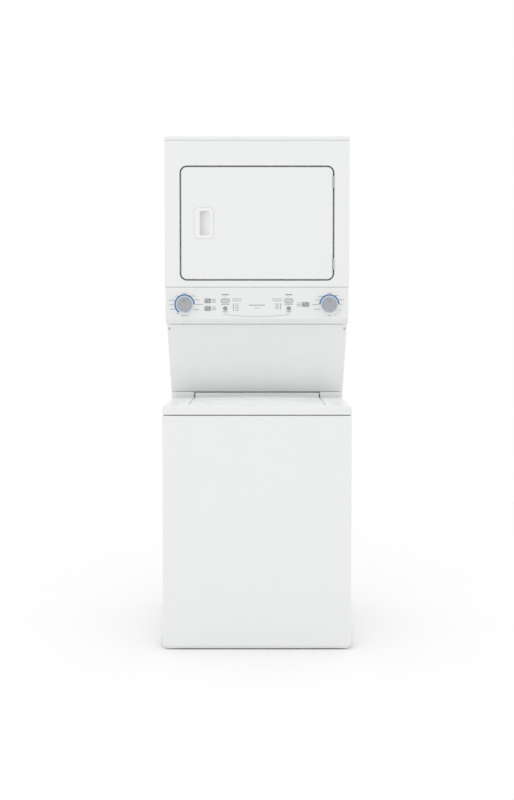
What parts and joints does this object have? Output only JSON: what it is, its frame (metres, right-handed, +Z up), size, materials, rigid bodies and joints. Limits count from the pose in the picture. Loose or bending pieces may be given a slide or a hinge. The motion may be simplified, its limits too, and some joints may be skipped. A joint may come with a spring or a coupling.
{
  "type": "washer dryer stack",
  "caption": "Free-standing laundry tower: a top-loading washer with a front-opening dryer above a sloped loading recess and a control console.",
  "frame": {"origin": "on the floor, under the middle of the overall box", "axes": "+X to the right seen from the front, +Y from the front to the back, +Z up"},
  "size_m": [0.686, 0.8, 1.877],
  "materials": {
    "white_enamel": "gloss",
    "galvanised_sheet": "satin",
    "console_plastic": "satin",
    "knob_plastic": "satin",
    "button_plastic": "satin",
    "light_pipe": "clear",
    "white_plastic": "gloss",
    "tub_plastic": "moulded",
    "dark_plastic": "moulded",
    "basket_enamel": "gloss",
    "drum_enamel": "satin",
    "cast_housing": "cast",
    "plated_steel": "bright",
    "belt_rubber": "matte"
  },
  "bodies": {
    "frame": {"washer_cabinet": "white_enamel", "washer_front_panel": "white_enamel", "washer_base": "galvanised_sheet", "washer_deck": "white_enamel", "lid_lock": "dark_plastic", "recess_panel": "white_enamel", "side_panel_left": "white_enamel", "side_panel_right": "white_enamel", "dryer_top_panel": "white_enamel", "dryer_front_panel": "white_enamel", "rear_panel": "galvanised_sheet", "console_panel": "console_plastic", "control_housing": "dark_plastic", "indicator_lights": "light_pipe", "drain_pump": "tub_plastic", "inlet_valve": "dark_plastic", "front_bulkhead": "galvanised_sheet", "rear_bulkhead": "galvanised_sheet", "blower_housing": "tub_plastic", "lint_chute": "tub_plastic", "exhaust_duct": "galvanised_sheet", "heater_box": "galvanised_sheet", "dryer_motor": "cast_housing", "drum_belt": "belt_rubber", "terminal_cover": "galvanised_sheet", "cabinet_screws": "plated_steel", "door_hinge_leaves": "plated_steel", "dryer_floor": "galvanised_sheet", "hanger_rods": "plated_steel", "levelling_feet": "dark_plastic"},
    "tub": {"washer_tub": "tub_plastic", "tub_cover": "white_plastic", "gearcase": "cast_housing", "washer_motor": "cast_housing", "washer_belt": "belt_rubber", "hanger_springs": "plated_steel"},
    "basket": {"wash_basket": "basket_enamel"},
    "agitator": {"agitator": "white_plastic", "drive_pulley": "cast_housing"},
    "motor_pulley": {"motor_pulley": "cast_housing"},
    "drum": {"dryer_drum": "drum_enamel", "drum_baffles": "white_plastic"},
    "blower": {"blower_wheel": "tub_plastic"},
    "lint_filter": {"lint_filter": "white_plastic"},
    "door": {"door_panel": "white_enamel", "door_liner": "white_plastic", "door_handle": "white_plastic", "door_hinges": "plated_steel", "door_seal": "belt_rubber"},
    "lid": {"washer_lid": "white_enamel", "lid_liner": "white_plastic"},
    "washer_dial": {"washer_dial": "knob_plastic"},
    "dryer_dial": {"dryer_dial": "knob_plastic"},
    "temperature_button": {"temperature_button": "button_plastic"},
    "soil_button": {"soil_button": "button_plastic"},
    "heat_button": {"heat_button": "button_plastic"},
    "washer_start_button": {"washer_start_button": "button_plastic"},
    "dryer_start_button": {"dryer_start_button": "button_plastic"},
    "washer_signal_button": {"washer_signal_button": "button_plastic"},
    "dryer_signal_button": {"dryer_signal_button": "button_plastic"}
  },
  "joints": [
    {"name": "tub_bounce", "type": "slide", "parent": "frame", "child": "tub", "axis": [0, 0, 1], "range_m": [-0.015, 0.01], "stiffness_N_per_m": 24000, "springref_m": 0.0119, "deforming": ["hanger_springs"]},
    {"name": "basket_spin", "type": "hinge", "parent": "tub", "child": "basket", "pos_m": [0, -0.075, 0.4], "axis": [0, 0, 1], "continuous": true},
    {"name": "agitator_turn", "type": "hinge", "parent": "tub", "child": "agitator", "pos_m": [0, -0.075, 0.4], "axis": [0, 0, 1], "continuous": true},
    {"name": "washer_motor_turn", "type": "hinge", "parent": "tub", "child": "motor_pulley", "pos_m": [0.195, -0.075, 0.1], "axis": [0, 0, 1], "continuous": true},
    {"name": "drum_turn", "type": "hinge", "parent": "frame", "child": "drum", "pos_m": [0, 0, 1.56], "axis": [0, 1, 0], "continuous": true},
    {"name": "blower_turn", "type": "hinge", "parent": "frame", "child": "blower", "pos_m": [0.125, 0, 1.15], "axis": [0, 1, 0], "continuous": true},
    {"name": "lint_filter_lift", "type": "slide", "parent": "frame", "child": "lint_filter", "axis": [0, 0, 1], "range_m": [0, 0.13]},
    {"name": "door_swing", "type": "hinge", "parent": "frame", "child": "door", "pos_m": [0.284, -0.267, 1.556], "axis": [0, 0, 1], "range_deg": [0, 170]},
    {"name": "lid_swing", "type": "hinge", "parent": "frame", "child": "lid", "pos_m": [0, 0.082, 0.899], "axis": [-1, 0, 0], "range_deg": [0, 44]},
    {"name": "washer_dial_turn", "type": "hinge", "parent": "frame", "child": "washer_dial", "pos_m": [-0.269, -0.268, 1.255], "axis": [0, 1, 0], "continuous": true},
    {"name": "dryer_dial_turn", "type": "hinge", "parent": "frame", "child": "dryer_dial", "pos_m": [0.269, -0.268, 1.255], "axis": [0, 1, 0], "continuous": true},
    {"name": "temperature_press", "type": "slide", "parent": "frame", "child": "temperature_button", "axis": [0, 1, 0], "range_m": [0, 0.0022], "stiffness_N_per_m": 400, "springref_m": -0.001},
    {"name": "soil_press", "type": "slide", "parent": "frame", "child": "soil_button", "axis": [0, 1, 0], "range_m": [0, 0.0022], "stiffness_N_per_m": 400, "springref_m": -0.001},
    {"name": "heat_press", "type": "slide", "parent": "frame", "child": "heat_button", "axis": [0, 1, 0], "range_m": [0, 0.0022], "stiffness_N_per_m": 400, "springref_m": -0.001},
    {"name": "washer_start_press", "type": "slide", "parent": "frame", "child": "washer_start_button", "axis": [0, 1, 0], "range_m": [0, 0.0022], "stiffness_N_per_m": 400, "springref_m": -0.001},
    {"name": "dryer_start_press", "type": "slide", "parent": "frame", "child": "dryer_start_button", "axis": [0, 1, 0], "range_m": [0, 0.0022], "stiffness_N_per_m": 400, "springref_m": -0.001},
    {"name": "washer_signal_press", "type": "slide", "parent": "frame", "child": "washer_signal_button", "axis": [0, 1, 0], "range_m": [0, 0.0022], "stiffness_N_per_m": 400, "springref_m": -0.001},
    {"name": "dryer_signal_press", "type": "slide", "parent": "frame", "child": "dryer_signal_button", "axis": [0, 1, 0], "range_m": [0, 0.0022], "stiffness_N_per_m": 400, "springref_m": -0.001}
  ],
  "couplings": [
    {"joint": "washer_motor_turn", "follows": "agitator_turn", "ratio": 5.5},
    {"joint": "blower_turn", "follows": "drum_turn", "ratio": 29.5}
  ]
}
